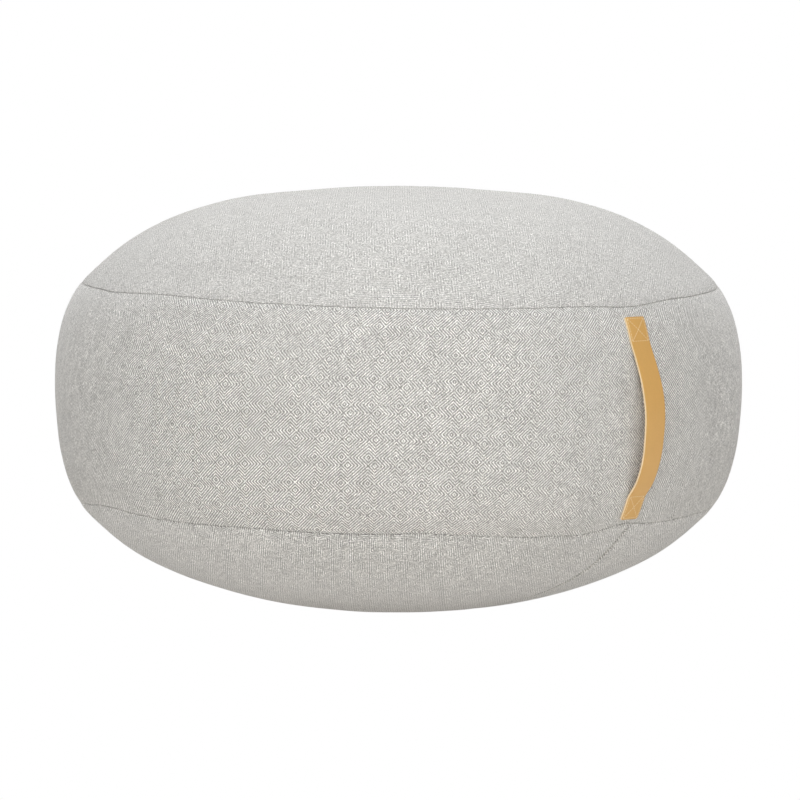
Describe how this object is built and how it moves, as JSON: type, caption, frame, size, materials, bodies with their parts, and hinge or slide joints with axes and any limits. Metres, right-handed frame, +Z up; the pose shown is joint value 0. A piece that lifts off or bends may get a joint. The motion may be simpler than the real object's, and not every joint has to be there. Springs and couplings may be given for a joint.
{
  "type": "wool pouf",
  "caption": "Round stuffed floor pouf of woven wool, with a crowned top, a bulging side band, a rounded base that rests on a flat spot, and a leather carrying strap sewn to the side.",
  "frame": {"origin": "on the floor, on the pouf's upright axis, in the middle of the flat spot that it rests on", "axes": "+Z up along the pouf's axis, +X from the axis through the middle of the carrying strap, +Y to the left of the strap as seen facing it from inside the pouf"},
  "size_m": [0.7157, 0.6999, 0.427],
  "materials": {
    "wool": "woven wool, diamond twill, natural light grey",
    "leather": "smooth tan vegetable-tanned leather with pale cut edges"
  },
  "bodies": {
    "root": {"top_panel": "wool", "side_band": "wool", "base_half_left": "wool", "base_half_right": "wool", "handle_strap": "leather"}
  },
  "joints": []
}
